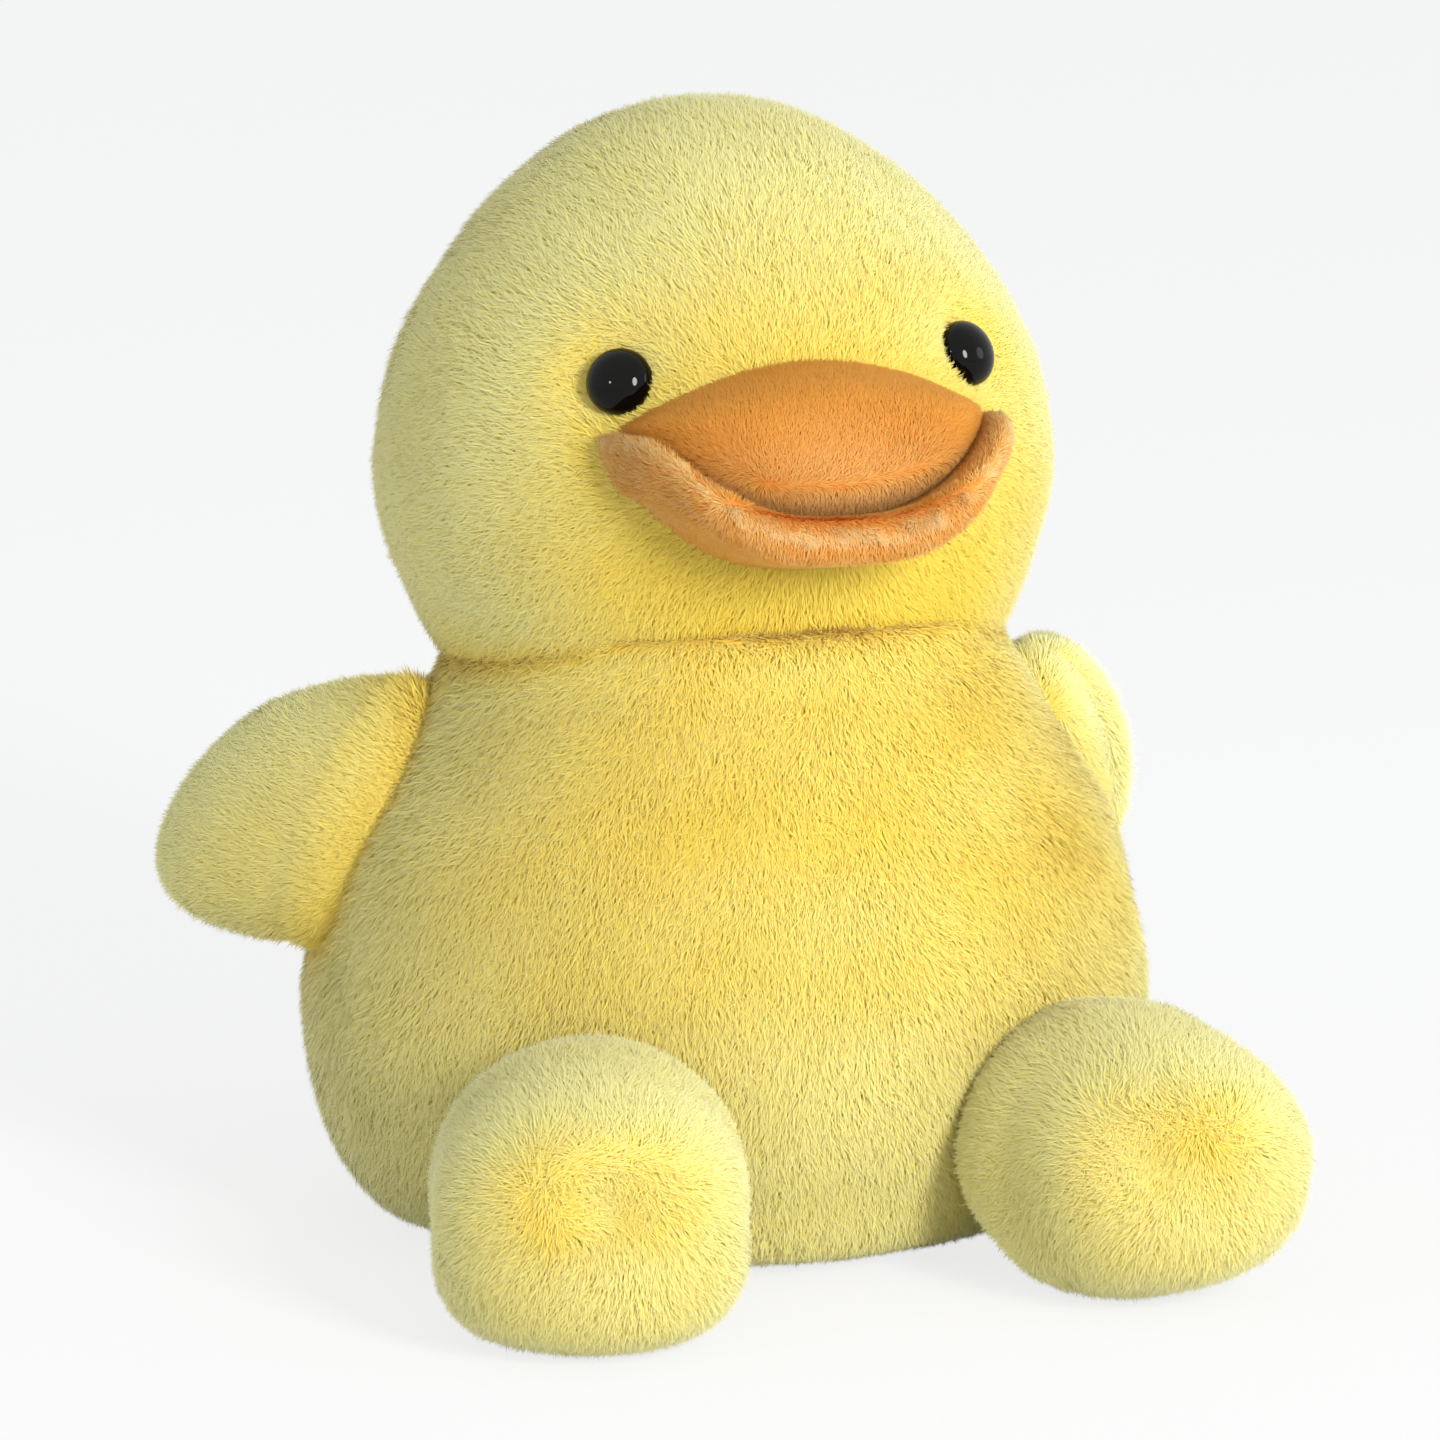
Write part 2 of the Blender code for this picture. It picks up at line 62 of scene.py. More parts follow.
# Lamps: name, place, width and height in metres, and power in watts. Left and right are the picture's.
LAMPS = (
    ("key", (0.24, -1.07, 0.49), 0.31, 0.46, 12.6),
    ("left side", (-1.15, -0.70, 0.55), 0.12, 0.12, 1.4),
    ("right side", (1.15, -0.45, 0.40), 0.5, 0.5, 1.55),
)
FILL_COLOUR = (0.93, 0.97, 1.0, 1)
FILL_STRENGTH = 0.52
WHITE = (1, 1, 1, 1)
PAPER_COLOUR = (0.9, 0.9, 0.9, 1)
PAPER_GLOW_SHARE = 0.8
FLOOR_HALF_WIDTH = 6

# Places, taken from the joints of the frame
JOINTS = {joint["name"]: joint for joint in frame["joints"]}
SIDES = {"right": -1, "left": 1}
UP = np.array((0.0, 0.0, 1.0))

# Head
HEAD_CENTRE = np.array(JOINTS["head_nod"]["pos_m"])
HEAD_UP = np.array(JOINTS["head_turn"]["axis"])
HEAD_RADIUS = 37.0 * MM
NECK_RADIUS = 36.1 * MM
JAW_SHARE = 0.35
NECK_DROP = 20.6 * MM
CROWN_RISE_SHARE = 0.085
CROWN_START_SHARE = 0.58

# The thread round the neck
THREAD_RADIUS = 0.15 * MM
THREAD_SINK = 0.8 * MM
THREAD_SIDES = 8
THREAD_STEPS = 96

# Eyes
EYE_RADIUS = 3.6 * MM
EYE_DOME = 2.6 * MM
EYE_SINK = 1.6 * MM
EYE_OUT = {"right": 18.9 * MM, "left": 20.0 * MM}
EYE_UP = {"right": 8.8 * MM, "left": 9.7 * MM}
EYE_FLANGE = 0.8 * MM
EYE_FLANGE_BEVEL_SHARE = 0.6
EYE_FLANGE_RADIUS_SHARE = 0.96
EYE_RINGS = 17
EYE_SEGMENTS = 64
EYE_DENT = 1.5 * MM
EYE_DENT_RADIUS = 5.5 * MM

# Body
BODY_TALL = 75.0 * MM
BODY_HALF_WIDTH = 46.6 * MM
BODY_FRONT = 43.0 * MM
BODY_BACK = 44.0 * MM
# Each row: height, half width, reach forwards and reach backwards, as shares of the body's own
BODY_OUTLINE_SHARES = np.array((
    (0.000, 0.000, 0.000, 0.000),
    (0.000, 0.640, 0.580, 0.700),
    (0.018, 0.770, 0.720, 0.860),
    (0.055, 0.870, 0.840, 0.945),
    (0.130, 0.940, 0.900, 0.980),
    (0.220, 0.980, 0.965, 1.000),
    (0.340, 1.000, 1.000, 1.000),
    (0.460, 0.962, 1.000, 0.945),
    (0.580, 0.910, 0.975, 0.860),
    (0.680, 0.815, 0.915, 0.765),
    (0.780, 0.720, 0.845, 0.680),
    (0.870, 0.645, 0.780, 0.610),
    (0.950, 0.540, 0.680, 0.510),
    (1.000, 0.000, 0.000, 0.000),
))

# Feet
FOOT_RADIUS = 16.8 * MM
FOOT_TOE = 23.0 * MM
FOOT_TALL_SHARE = 0.93
FOOT_SOLE_SHARE = {"right": 0.20, "left": 0.10}
FOOT_TOP_SHARE = {"right": 0.14, "left": 0.07}
FOOT_SOLE_BACK_SHARE = 0.3
TOE_START_SHARE = 0.15
DIMPLE_DEPTH = 1.6 * MM
DIMPLE_RADIUS = 4.5 * MM
DIMPLES = {"right": (0.05, -0.98, 0.20), "left": (-0.42, -0.88, 0.22)}
PARTING_REACH = 5.5 * MM

# Wings
WING_ROOT_RADIUS = {"right": 8.6 * MM, "left": 7.0 * MM}
WING_THICKNESS = {"right": 17.0 * MM, "left": 18.6 * MM}
WING_CHORD = {"right": 32.2 * MM, "left": 27.2 * MM}
WING_REACH = {"right": 23.0 * MM, "left": 20.6 * MM}
WING_BEND = {"right": 4.0 * MM, "left": 0.0}
WING_ROLL_SHARE = {"right": 0.0, "left": 0.2}
WING_OUT = {"right": 0.0, "left": -0.9 * MM}
WING_SWEEP = {"right": math.radians(50), "left": math.radians(72)}
WING_DROOP_SHARE = {"right": 0.40, "left": 0.08}
WING_DROOP_POWER = 1.1
WING_FULLNESS_POWER = 0.6
WING_CORNER_POWER = 2.15

# Tail
TAIL_CENTRE = np.array((0, 43.0, 24.0)) * MM
TAIL_RISE = math.radians(28)
TAIL_SIZES = np.array((8.5, 10.5, 6.0)) * MM
TAIL_TAPER_SHARE = 0.18

# The bill's puffed upper half
PUFF_HALF_WIDTH = 19.9 * MM
PUFF_FORWARD = 30.5 * MM
PUFF_REACH = 15.5 * MM
PUFF_HALF_TALL = 9.2 * MM
PUFF_ABOVE = 1.2 * MM
PUFF_UPTURN = 2.4 * MM
PUFF_PINCH_SHARE = 0.75
PUFF_ARCH_POWER = 0.7
PUFF_LOW_POWER = 2.6
PUFF_LOW_SHARE = 1.08

# The bill's flat lower half
LIP_HALF_WIDTH = 22.1 * MM
LIP_FORWARD = 29.0 * MM
LIP_REACH = 19.5 * MM
LIP_THICKNESS = 5.6 * MM
LIP_BELOW = 9.4 * MM
LIP_RIM_SHARE = 0.5
LIP_UPTURN = 14.4 * MM
LIP_CURL_POWER = 2.8
LIP_CORNER_POWER = 2.6
LIP_END_FORWARD = 1.4 * MM
LIP_END_DROP = 2.8 * MM
LIP_END_START_SHARE = 0.8
LIP_END_SHARE = 0.3
# Its pile flows from a line of this half width, where the two halves meet
BILL_LINE = 13.0 * MM

# Skins: how deep they lie under the forms, and what lies under them
PILE_DEPTH = 1.5 * MM
BILL_DEPTH = 0.7 * MM
COVER_DEPTH = 0.8 * MM
CUP_GAP = 0.2 * MM
SOLE = 0.3 * MM
SKIN_DETAIL = 6
TAIL_DETAIL = 4
FILLING_DETAIL = 5

# Strands: how long and wide they are, and how many there are on a piece or in each of its layers
PILE_LENGTH = 2.7 * MM
PILE_WIDTH = 0.26 * MM
BILL_PILE_LENGTH = 1.3 * MM
BILL_PILE_WIDTH = 0.14 * MM
HEAD_STRANDS = 115_000
BODY_STRANDS = 145_000
FOOT_STRANDS = 36_000
WING_STRANDS = 24_000
TAIL_STRANDS = 25_000
BILL_STRANDS = 100_000
TUFT_STRANDS = 12_000
DENSITY_SHARE = 1
# Each layer: its name, its length beside the pile's, and its lean from upright in radians
LAYERS = (
    ("under_pile", 0.95, 1.26),
    ("middle_pile", 1.05, 1.22),
    ("pile", 1.1, 1.18),
    ("top_pile", 1.15, 1.13),
)

# How unlike each other the strands are, in radians and shares
TURN_NOISE = 0.42
LEAN_NOISE = 0.06
LENGTH_NOISE = 0.05
WIDTH_RANGE = (0.8, 1.2)
TWIST_MOST = 0.25
FACING_NOISE = 0.03
FACING_TILT = 0.15
HUE_SHIFT = 0.08
HUE_NOISE = 0.05
HUE_RANGE = (0.02, 0.98)
UV_HALF_WIDTH = 0.01

# How wide the patches are in which strands lie alike
SWIRL_SIZE = 10 * MM
SMALL_SWIRL_SIZE = 4 * MM
SMALL_SWIRL_SHARE = 0.5
PATCH_SIZE = 7 * MM
PATCH_LEAN = 0.05
TUFT_SIZE = 1.6 * MM

# Where the pile is deeper in colour, as painted shade in creases and a painted golden front, short or left out
# Painted shade: how deep the pile's tone gets in the creases beside other pieces, where shade falls
CREASE_PAINTED_SHADE = 0.7
# How strongly each wing's front is painted more golden, as the lit pile looks from the front
WING_PAINTED_FRONT = {"right": 0.55, "left": 0.0}
# How far from the body the painted shade in each wing's crease reaches
WING_PAINTED_SHADE_REACH = {"right": 6.0 * MM, "left": 2.5 * MM}
# How strongly the feet's fronts are painted more golden in the same way
FOOT_PAINTED_FRONT = 0.35
BODY_PALE_BELOW = 46 * MM
SHORT_SHARE = 0.5
EYE_SHORT_REACH = 2.5 * MM
EYE_BARE_SHARE = 0.8
NECK_SHORT_REACH = 5 * MM
NECK_RIM = 0.15 * MM
HEAD_HIDDEN_DROP = 32.5 * MM


def unit(vectors):
    return vectors / np.maximum(np.linalg.norm(vectors, axis=-1, keepdims=True), 1e-12)


def ease(values, low, high):
    """0 up to low, 1 from high on, and smooth between."""
    t = np.clip((values - low) / (high - low), 0, 1)
    return t * t * (3 - 2 * t)


def waves(points, size, seed, count=6):
    """A smooth field of three values over space, mostly within one of zero, in patches of this size."""
    rng = np.random.default_rng(seed)
    total = np.zeros((len(points), 3))
    for _ in range(count):
        along = points @ unit(rng.normal(size=3)) * math.tau / (size * rng.uniform(1.2, 2.4))
        total += np.sin(along[:, None] + rng.uniform(0, math.tau, 3))
    return total / math.sqrt(count)


def turned_about(axis, vectors, angle):
    """Vectors turned by an angle about an axis that is at right angles to them."""
    return np.cos(angle) * vectors + np.sin(angle) * np.cross(axis, vectors)


# Forms: each moves the points of a unit ball to the outside of the pile, in the piece's own frame


def rounded(first, second, power):
    """How far out a round outline goes when its corners are filled, by its two coordinates."""
    squared = np.abs(first) ** power + np.abs(second) ** power
    return np.hypot(first, second) / np.maximum(squared, 1e-12) ** (1 / power)


def head_form(d):
    crown = np.maximum(d[:, 2] - CROWN_START_SHARE, 0) / (1 - CROWN_START_SHARE)
    radius = HEAD_RADIUS + (NECK_RADIUS - HEAD_RADIUS) * ease(-d[:, 2], 0, JAW_SHARE)
    points = d * (radius * (1 + CROWN_RISE_SHARE * crown**2))[:, None]
    for side_name in SIDES:
        near = np.linalg.norm(points - eye_seat(side_name)[0], axis=1) / EYE_DENT_RADIUS
        points -= d * (EYE_DENT * np.exp(-(near**2)))[:, None]
    return points


def between_rows(rows, at):
    """Rows read at places between them, on a Catmull-Rom curve."""
    start = np.minimum(at.astype(int), len(rows) - 2)
    t = (at - start)[:, None]
    a, b, c, e = (rows[np.clip(start + step, 0, len(rows) - 1)] for step in (-1, 0, 1, 2))
    once = (c - a) * t / 2
    squared = (2 * a - 5 * b + 4 * c - e) * t**2 / 2
    cubed = (3 * b - a - 3 * c + e) * t**3 / 2
    return b + once + squared + cubed


def body_form(d):
    """The outline is read by the latitude on the unit ball."""
    at = (1 - np.arccos(np.clip(d[:, 2], -1, 1)) / math.pi) * (len(BODY_OUTLINE_SHARES) - 1)
    tall, wide, front, back = np.maximum(between_rows(BODY_OUTLINE_SHARES, at), 0).T
    flat = unit(d[:, :2])
    reach = np.where(flat[:, 1] < 0, front * BODY_FRONT, back * BODY_BACK)
    across = flat[:, 0] * wide * BODY_HALF_WIDTH
    return np.column_stack((across, flat[:, 1] * reach, tall * BODY_TALL))


def foot_form(side_name):
    def form(d):
        toe = ease(-d[:, 1], TOE_START_SHARE, 1)
        low = d[:, 2] < 0
        sole = np.where(low, 2 * d[:, 2] * np.hypot(d[:, 0], d[:, 1]), 0)
        back = 1 - ease(d[:, 1], -FOOT_SOLE_BACK_SHARE, FOOT_SOLE_BACK_SHARE)
        grown = 1 + FOOT_SOLE_SHARE[side_name] * sole**2 * back
        reach = (FOOT_RADIUS + (FOOT_TOE - FOOT_RADIUS) * toe) * grown
        top = np.where(low, 0, FOOT_TOP_SHARE[side_name] * toe)
        tall = FOOT_RADIUS * FOOT_TALL_SHARE * (grown + top)
        points = np.column_stack((d[:, 0] * reach, d[:, 1] * reach, d[:, 2] * tall))
        dimple = unit(np.array(DIMPLES[side_name]))
        near = np.linalg.norm(d - dimple, axis=1) * FOOT_TOE / DIMPLE_RADIUS
        return points - dimple * (DIMPLE_DEPTH * np.exp(-(near**2)))[:, None]

    return form


def wing_form(side_name):
    """Round its hinge along local Z, with the tip towards local -Y."""
    root_radius = WING_ROOT_RADIUS[side_name]
    thickness = WING_THICKNESS[side_name]
    reach = WING_REACH[side_name]
    half_chord = WING_CHORD[side_name] / 2

    def form(d):
        flat = np.maximum(np.hypot(d[:, 0], d[:, 1]), 1e-9)
        corner = rounded(d[:, 1], d[:, 2], WING_CORNER_POWER)
        out = np.maximum(-d[:, 1] * corner, 0)
        round_root = np.sqrt(np.maximum(root_radius**2 - (out * reach / flat) ** 2, 0))
        across = (np.abs(d[:, 0]) / flat) ** WING_FULLNESS_POWER
        half = np.copysign(flat * np.maximum(round_root, thickness / 2 * across), d[:, 0])
        chord = d[:, 2] * half_chord * corner
        drop = WING_DROOP_SHARE[side_name] * reach * out**WING_DROOP_POWER
        root = d * np.array((root_radius, root_radius, half_chord))
        bend = WING_BEND[side_name] * out**2
        blade = np.column_stack((half - bend, -out * reach, chord - drop))
        points = np.where((d[:, 1] >= 0)[:, None], root, blade)
        points[:, 0] -= WING_OUT[side_name] + WING_ROLL_SHARE[side_name] * points[:, 2]
        return points

    return form


def tail_form(d):
    taper = 1 - TAIL_TAPER_SHARE * ease(-d[:, 1], -0.4, 1)
    return d * TAIL_SIZES * np.column_stack((taper, np.ones(len(d)), taper))


def puff_form(d):
    """Arched on top, and fuller below, where it lies on the lower bill."""
    low = d[:, 2] < 0
    fuller = np.where(low & (d[:, 1] < 0), rounded(d[:, 1], d[:, 2], PUFF_LOW_POWER), 1)
    arch = (1 - PUFF_PINCH_SHARE * d[:, 0] ** 2) ** PUFF_ARCH_POWER
    pinch = np.where(low, PUFF_LOW_SHARE, arch)
    start = PUFF_ABOVE + PUFF_UPTURN * d[:, 0] ** 2
    height = start + d[:, 2] * fuller * PUFF_HALF_TALL * pinch
    forward = -PUFF_FORWARD + d[:, 1] * fuller * PUFF_REACH
    return np.column_stack((d[:, 0] * PUFF_HALF_WIDTH, forward, height))


def lip_form(d):
    """A plate with a round rim, whose two corners turn up."""
    latitude = np.arcsin(np.clip(np.abs(d[:, 2]), 0, 1)) / (math.pi / 2)
    rim = np.minimum(latitude / LIP_RIM_SHARE, 1) * math.pi / 2
    rounding = LIP_THICKNESS / 2 / LIP_HALF_WIDTH
    inward = 1 - rounding * (1 - np.cos(rim))
    inward *= np.minimum((1 - latitude) / (1 - LIP_RIM_SHARE), 1)
    flat = unit(d[:, :2])
    squared = np.abs(flat[:, 0]) ** LIP_CORNER_POWER + np.abs(flat[:, 1]) ** LIP_CORNER_POWER
    inward /= np.maximum(squared, 1e-12) ** (1 / LIP_CORNER_POWER)
    across, forward = flat[:, 0] * inward, flat[:, 1] * inward
    thick = LIP_THICKNESS / 2 * (1 + LIP_END_SHARE * across**2)
    drop = LIP_END_DROP * ease(np.abs(across), LIP_END_START_SHARE, 1)
    upturn = LIP_UPTURN * np.abs(across) ** LIP_CURL_POWER - drop
    height = np.copysign(np.sin(rim) * thick, d[:, 2]) - LIP_BELOW + upturn
    start = LIP_FORWARD + LIP_END_FORWARD * across**2
    return np.column_stack((across * LIP_HALF_WIDTH, -start + forward * LIP_REACH, height))


# Places: an origin and three axes, which are the columns of a matrix


def place_at(origin, x_axis, z_axis):
    z = unit(np.array(z_axis, float))
    y = unit(np.cross(z, x_axis))
    return np.array(origin, float), np.column_stack((np.cross(y, z), y, z))


def out_of(place, local):
    return place[0] + local @ place[1].T


HEAD_PLACE = place_at(HEAD_CENTRE, (1, 0, 0), HEAD_UP)
BODY_PLACE = place_at((0, 0, 0), (1, 0, 0), UP)


def foot_place(side_name):
    joint = JOINTS[f"{side_name}_foot_swing"]
    return place_at(joint["pos_m"], joint["axis"], UP)


def wing_place(side_name):
    """The chord runs along the hinge, upwards, and the sweep turns the tip back from straight out."""
    joint = JOINTS[f"{side_name}_wing_swing"]
    side = SIDES[side_name]
    chord = np.array(joint["axis"]) * -side
    outward = unit(np.cross(chord, (0, -side, 0)))
    sweep = WING_SWEEP[side_name]
    tip = math.cos(sweep) * outward + math.sin(sweep) * np.array((0, 1, 0))
    return place_at(joint["pos_m"], np.cross(chord, tip), chord)


def tail_place():
    up = (0, -math.sin(TAIL_RISE), math.cos(TAIL_RISE))
    tip = (0, math.cos(TAIL_RISE), math.sin(TAIL_RISE))
    return place_at(TAIL_CENTRE, np.cross(up, tip), up)


def eye_seat(side_name):
    """An eye's place in the head's own frame, with its Z axis straight out of the face."""
    seat, out, up = HEAD_RADIUS - EYE_SINK, EYE_OUT[side_name], EYE_UP[side_name]
    spot = np.array((SIDES[side_name] * out, -math.sqrt(seat**2 - out**2 - up**2), up))
    return place_at(spot, np.cross((0, 0, 1), spot), spot)


# Where the two halves of the bill meet, where the bill meets the face, and the lower bill's middle
BILL_FRONT = out_of(HEAD_PLACE, np.array((0, -PUFF_FORWARD - PUFF_REACH, -LIP_BELOW / 2)))
FACE = out_of(HEAD_PLACE, np.array((0, -PUFF_FORWARD, -LIP_BELOW / 2)))
LIP_MIDDLE = out_of(HEAD_PLACE, np.array((0, -LIP_FORWARD / 2, -LIP_BELOW)))


# Materials


def linear(hex_colour):
    """An sRGB hex value as a linear colour with alpha."""
    values = [int(hex_colour[at : at + 2], 16) / 255 for at in (0, 2, 4)]
    return (*(v / 12.92 if v <= 0.04045 else ((v + 0.055) / 1.055) ** 2.4 for v in values), 1)


def add(tree, kind, settings=(), links=()):
    """A new node with its settings, and the sockets that feed its inputs by name or number."""
    node = tree.nodes.new(kind)
    for name, value in dict(settings).items():
        if name in node.inputs:
            node.inputs[name].default_value = value
        else:
            setattr(node, name, value)
    for name, socket in dict(links).items():
        tree.links.new(socket, node.inputs[name])
    return node


def new_material(name, roughness, specular=None, **settings):
    """A Principled material. Returns it with its node tree and its shader."""
    made = bpy.data.materials.new(name)
    made.use_nodes = True
    shader = made.node_tree.nodes["Principled BSDF"]
    shader.inputs["Roughness"].default_value = roughness
    if specular is not None:
        shader.inputs["Specular IOR Level"].default_value = specular
    for socket, value in settings.items():
        shader.inputs[socket.replace("_", " ").title()].default_value = value
    return made, made.node_tree, shader


def ramp(tree, factor, stops):
    node = add(tree, "ShaderNodeValToRGB", links={"Fac": factor})
    elements = node.color_ramp.elements
    while len(elements) < len(stops):
        elements.new(0.5)
    for element, (position, colour) in zip(elements, stops):
        element.position = position
        element.color = linear(colour)
    return node.outputs["Color"]


def pile_material(name, deep, pale, sheen):
    """Polyester pile, soft and matt, with a faint sheen where it is seen along its surface.

    Its UV map holds tone across and root to tip upwards, so that each strand deepens to its root.
    """
    made, tree, shader = new_material(
        name, roughness=0.6, specular=0.25, sheen_weight=sheen, sheen_roughness=0.4
    )
    uv = add(tree, "ShaderNodeUVMap", {"uv_map": "strand"}).outputs["UV"]
    where = add(tree, "ShaderNodeSeparateXYZ", links={"Vector": uv})
    pale_colour, deep_colour = (ramp(tree, where.outputs["Y"], stops) for stops in (pale, deep))
    # A colour mix has its factor at socket 0, its colours at 6 and 7, and its result at 2
    links = {0: where.outputs["X"], 6: pale_colour, 7: deep_colour}
    mix = add(tree, "ShaderNodeMix", {"data_type": "RGBA"}, links)
    tree.links.new(mix.outputs[2], shader.inputs["Base Color"])
    return made


def backing_material(name, colour, dark):
    """A matt material, a little uneven where it shows between strands."""
    made, tree, shader = new_material(name, roughness=0.95)
    place = add(tree, "ShaderNodeTexCoord").outputs["Object"]
    loops = add(tree, "ShaderNodeTexNoise", {"Scale": 1 / (2.5 * MM), "Detail": 3}, {"Vector": place})
    height = loops.outputs["Fac"]
    colours = ramp(tree, height, ((0.3, dark), (0.7, colour)))
    tree.links.new(colours, shader.inputs["Base Color"])
    bump = add(tree, "ShaderNodeBump", {"Strength": 0.4, "Distance": 0.2 * MM}, {"Height": height})
    tree.links.new(bump.outputs["Normal"], shader.inputs["Normal"])
    return made


# Cream-tipped yellow; its golden deep tones are painted shade in creases, a painted look of the light on the side
# that faces forwards, and the roots that show in the feet's partings
YELLOW_PILE = pile_material(
    "yellow polyester pile",
    deep=((0.0, "e9bc3c"), (0.5, "f2d145"), (1.0, "f5dc59")),
    pale=((0.0, "ecd25e"), (0.5, "f1e680"), (1.0, "f6f6c0")),
    sheen=0.25,
)
# Shorter and flatter than the yellow one, with tips that go towards cream on the lower bill
ORANGE_PILE = pile_material(
    "orange polyester pile",
    deep=((0.0, "d98629"), (0.5, "e19638"), (1.0, "e3a040")),
    pale=((0.0, "dd9240"), (0.5, "e6b05c"), (1.0, "f2d69c")),
    sheen=0.0,
)
# The knitted cloth under the pile, which keeps gaps between strands from looking dark
YELLOW_BACKING = backing_material("yellow knitted backing", "f1cf5f", "eabf50")
ORANGE_BACKING = backing_material("orange knitted backing", "e99444", "dd7f2f")

# What the inner pieces are made of: matt, and seen only when a cover is taken off
INNER = {
    "fibre": backing_material("polyester fibre", "efeeea", "d9d8d2"),
    "pellets": backing_material("plastic pellets", "d4d8dc", "b4b9be"),
    "thread": backing_material("waxed thread", "d9a53a", "b07f22"),
    "washer": backing_material("white moulded plastic", "e6e6e2", "d6d6d0"),
}

# Polished and almost black, so that it shows little but a small sharp spot for each lamp
EYE_BLACK, _, _ = new_material(
    "polished black plastic", roughness=0.05, specular=0.17, base_color=linear("060504")
)


# Skins


def finished(name, mesh, finish, body=None, stands_for=()):
    """A finished piece: its object at the origin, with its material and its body."""
    made = bpy.data.objects.new(name, mesh)
    bpy.context.scene.collection.objects.link(made)
    mesh.materials.append(finish)
    if body:
        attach(made, body)
    if stands_for:
        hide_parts(*stands_for)
    return made


def smooth_mesh(name, shape):
    mesh = bpy.data.meshes.new(name)
    shape.to_mesh(mesh)
    shape.free()
    mesh.shade_smooth()
    return mesh


def values_of(mesh):
    """Points, normals and triangles of a triangle mesh as arrays."""
    points, normals = np.empty(len(mesh.vertices) * 3), np.empty(len(mesh.vertices) * 3)
    corners = np.empty(len(mesh.loops), int)
    mesh.vertices.foreach_get("co", points)
    mesh.vertex_normals.foreach_get("vector", normals)
    mesh.loops.foreach_get("vertex_index", corners)
    return points.reshape(-1, 3), normals.reshape(-1, 3), corners.reshape(-1, 3)


def points_of(shape):
    return np.array([vertex.co for vertex in shape.verts])


def move_to(shape, points):
    for vertex, point in zip(shape.verts, points):
        vertex.co = point


def make_skin(name, finish, form, place, detail, depth, clear=None):
    """The backing under a piece's pile: the piece's form, shrunk by the depth of its pile."""
    shape = bmesh.new()
    bmesh.ops.create_icosphere(shape, subdivisions=detail, radius=1)
    move_to(shape, out_of(place, form(unit(points_of(shape)))))
    shape.normal_update()
    for vertex, normal in zip(shape.verts, [vertex.normal.copy() for vertex in shape.verts]):
        vertex.co -= normal * depth
    axes = {"use_axis_x": True, "use_axis_y": True, "use_axis_z": True}
    for _ in range(2):
        bmesh.ops.smooth_vert(shape, verts=shape.verts, factor=0.5, **axes)
    if clear:
        move_to(shape, clear(points_of(shape)))
    for vertex in shape.verts:
        vertex.co.z = max(vertex.co.z, SOLE)
    return finished(name, smooth_mesh(name, shape), finish)


def sunk(points, centre, radius, direction):
    """Points inside a ball, moved along a direction until they lie on it."""
    apart = points - centre
    direction = unit(np.array(direction, float))
    along = apart @ direction
    inside = np.linalg.norm(apart, axis=1) < radius
    out = -along + np.sqrt(np.maximum(along**2 - (apart**2).sum(1) + radius**2, 0))
    return points + np.where(inside, out, 0)[:, None] * direction


def clear_body(points):
    """The body's skin gives way under the head and the feet, which lie in it as in cups."""
    points = sunk(points, HEAD_CENTRE, NECK_RADIUS - PILE_DEPTH + CUP_GAP, (0, 0, -1))
    for side_name in SIDES:
        centre = foot_place(side_name)[0]
        points = sunk(points, centre, FOOT_RADIUS - PILE_DEPTH + CUP_GAP, (0, 1, 0.25))
    return points


# Pile


def is_inside(tree, spot):
    """True if a ray from the spot meets the closed skin an odd number of times."""
    ray = Vector((0.123, 0.217, 0.968)).normalized()
    hits = 0
    start = spot
    while hits < 20:
        found = tree.ray_cast(start, ray)[0]
        if found is None:
            break
        hits += 1
        start = found + ray * 0.001 * MM
    return hits % 2 == 1


def nearness(spots, others, reach):
    """For each spot, 0 to 1 as it comes within reach of the other skins, and its depth inside them."""
    near = np.zeros(len(spots))
    depth = np.zeros(len(spots))
    for other in others:
        points, _, corners = values_of(other.data)
        tree = BVHTree.FromPolygons(points.tolist(), corners.tolist())
        low, high = points.min(0) - 2 * reach, points.max(0) + 2 * reach
        for at in np.flatnonzero(((spots > low) & (spots < high)).all(1)):
            spot = Vector(spots[at])
            distance = tree.find_nearest(spot)[3]
            if is_inside(tree, spot):
                depth[at] = max(depth[at], distance)
                distance = 0
            near[at] = max(near[at], math.exp(-((distance / reach) ** 2)))
    return near, depth


def spread(rng, points, corners, kept, count):
    """Roots, even over the kept part of a skin: the corners that each lies between, and its shares."""
    a, b, c = (points[corners[:, at]] for at in range(3))
    areas = np.linalg.norm(np.cross(b - a, c - a), axis=1) * kept[corners].mean(1)
    total = np.cumsum(areas)
    chosen = np.searchsorted(total, (np.arange(count) + rng.random(count)) / count * total[-1])
    share = rng.random((count, 2))
    share = np.where(share.sum(1, keepdims=True) > 1, 1 - share, share)
    share = np.column_stack((1 - share.sum(1), share))
    return corners[np.minimum(chosen, len(corners) - 1)], share


def at_roots(values, chosen, share):
    """The values of a skin's points, read at the roots."""
    return (values[chosen] * (share[..., None] if values.ndim == 2 else share)).sum(1)


